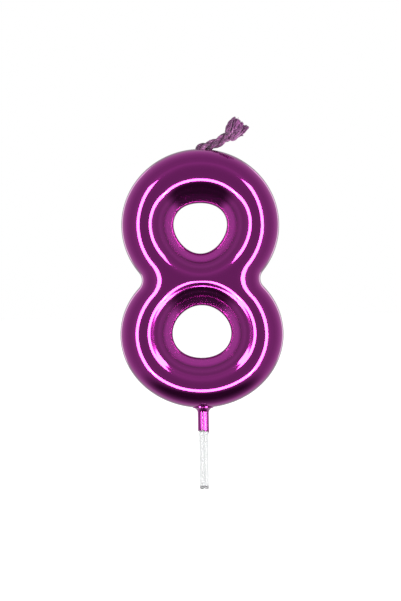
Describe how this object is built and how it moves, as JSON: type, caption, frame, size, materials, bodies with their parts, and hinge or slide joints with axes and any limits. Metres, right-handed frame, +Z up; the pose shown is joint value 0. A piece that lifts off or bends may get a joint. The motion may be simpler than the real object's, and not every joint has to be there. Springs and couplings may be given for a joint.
{
  "type": "number birthday candle",
  "caption": "Swollen figure eight of moulded wax under a metallic lacquer coat, with a twisted wick on top and a clear plastic pick that holds it up in a cake.",
  "frame": {"origin": "on the pick's axis, where the clear shank leaves the lacquered neck, which is how deep it goes into the cake", "axes": "+Z up along the pick and the figure, -Y towards the front, +X to the right of someone facing the front"},
  "size_m": [0.0308, 0.0092, 0.07],
  "materials": {
    "paraffin_wax": "satin",
    "metallic_lacquer": "gloss",
    "clear_plastic": "gloss",
    "cotton_wick": "matte",
    "lacquered_wick": "satin"
  },
  "bodies": {
    "candle": {"wax_body": "paraffin_wax", "lacquer_coat": "metallic_lacquer", "cake_pick": "clear_plastic", "wick_strand_1": "cotton_wick", "wick_strand_2": "cotton_wick", "wick_strand_3": "cotton_wick"},
    "wick": {"wick_end_1": "lacquered_wick", "wick_end_2": "lacquered_wick", "wick_end_3": "lacquered_wick"}
  },
  "joints": [
    {"name": "wick_bend", "type": "hinge", "parent": "candle", "child": "wick", "pos_m": [0.0003, 0, 0.05275], "axis": [0, 1, 0], "range_deg": [-60, 0]}
  ]
}
